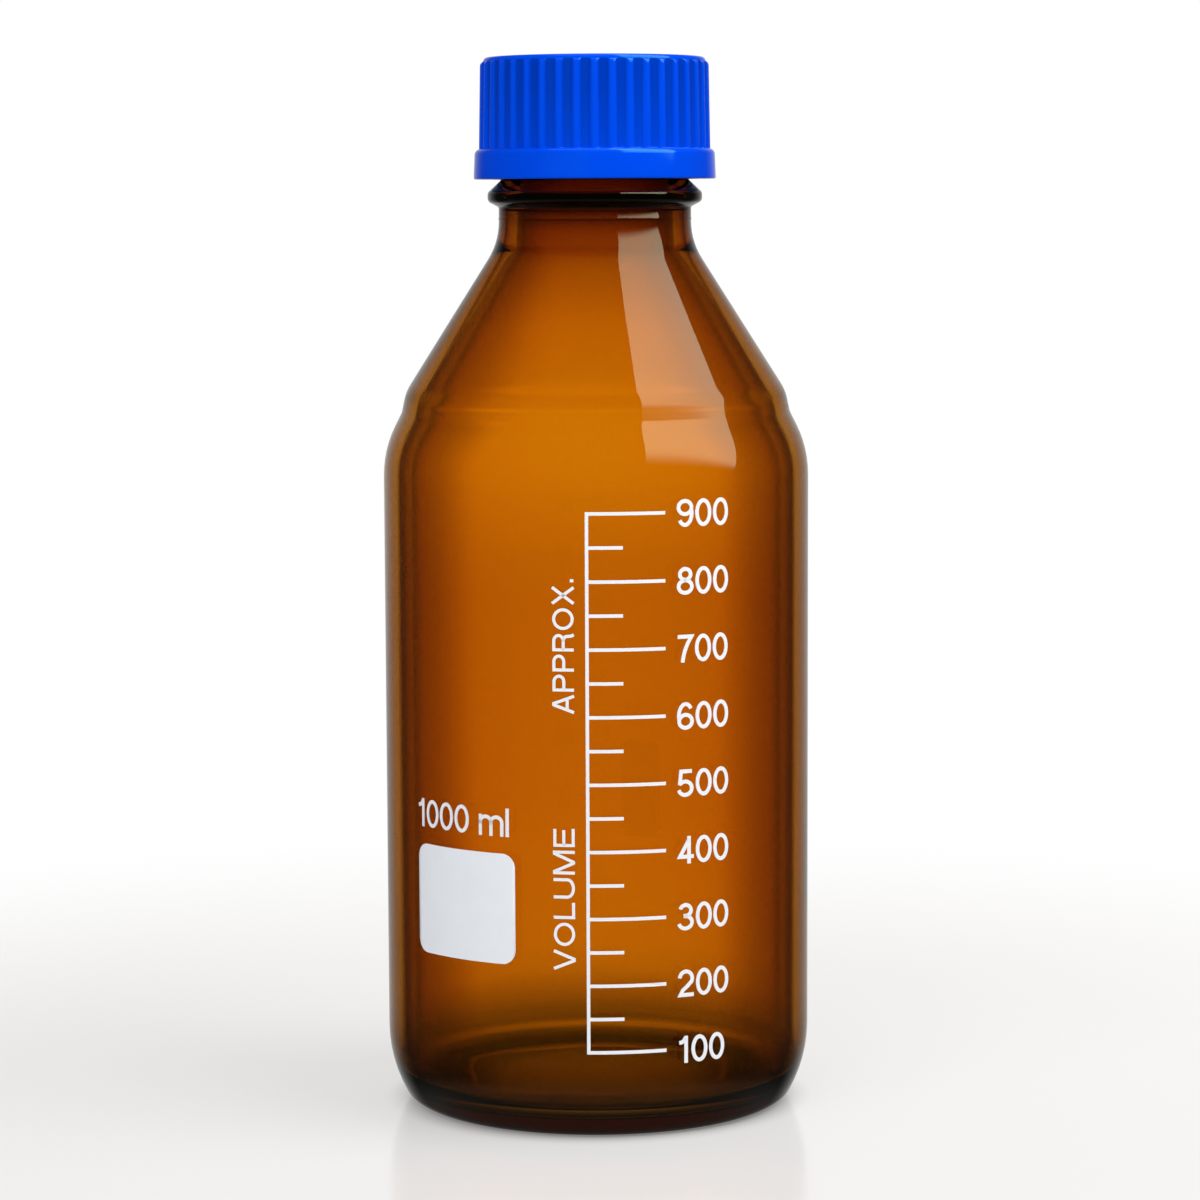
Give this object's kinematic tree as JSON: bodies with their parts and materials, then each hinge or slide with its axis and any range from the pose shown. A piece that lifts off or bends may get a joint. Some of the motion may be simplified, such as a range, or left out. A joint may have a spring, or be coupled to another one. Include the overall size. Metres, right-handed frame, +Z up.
{
  "type": "round laboratory media bottle",
  "caption": "Round amber glass laboratory bottle with a coned shoulder, white graduation scale, writing panel and ribbed blue screw cap that unscrews.",
  "frame": {"origin": "on the bottle's axis, in the plane of the ring that the base stands on", "axes": "+Z up along the bottle's axis; the printed scale faces -Y; +X is to the right of the scale"},
  "size_m": [0.0966, 0.0966, 0.2375],
  "materials": {
    "amber_glass": "clear amber, gloss",
    "white_enamel": "fired enamel, satin",
    "ring_plastic": "moulded, satin gloss",
    "seal_rubber": "smooth",
    "cap_plastic": "moulded, satin gloss"
  },
  "bodies": {
    "bottle": {"glass_bottle": "amber_glass", "graduation_scale": "white_enamel", "marking_panel": "white_enamel", "pouring_ring": "ring_plastic"},
    "seal": {"cap_liner": "seal_rubber"},
    "cap": {"screw_cap": "cap_plastic"}
  },
  "joints": [
    {"name": "cap_lift", "type": "slide", "parent": "bottle", "child": "seal", "axis": [0, 0, 1], "range_m": [0, 0.008]},
    {"name": "cap_turn", "type": "hinge", "parent": "seal", "child": "cap", "pos_m": [0, 0, 0.22], "axis": [0, 0, 1], "range_deg": [0, 720]}
  ],
  "couplings": [
    {"joint": "cap_lift", "follows": "cap_turn", "m_per_rad": 0.00063662}
  ]
}
